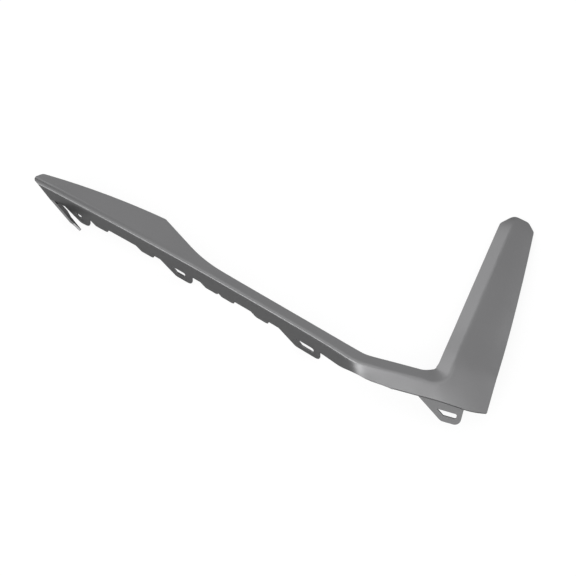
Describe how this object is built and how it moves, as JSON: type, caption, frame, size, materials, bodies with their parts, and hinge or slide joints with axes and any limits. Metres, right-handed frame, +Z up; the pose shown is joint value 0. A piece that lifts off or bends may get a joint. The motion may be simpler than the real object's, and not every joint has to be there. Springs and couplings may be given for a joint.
{
  "type": "bumper moulding",
  "caption": "L-shaped injection-moulded bumper trim: a long ridged arm with a flared blade end, a broad crowned upright, and slotted clip tabs along its outer edge.",
  "frame": {"origin": "bottom centre of the bounding box of the moulding as it lies face up on a level floor", "axes": "+Z up out of the visible face, +X from the flared blade end towards the upright, +Y the way the upright points"},
  "size_m": [0.5996, 0.3232, 0.056],
  "materials": {
    "satin_paint": "injection-moulded plastic with satin silver-grey paint"
  },
  "bodies": {
    "root": {"bumper_moulding": "satin_paint"}
  },
  "joints": []
}
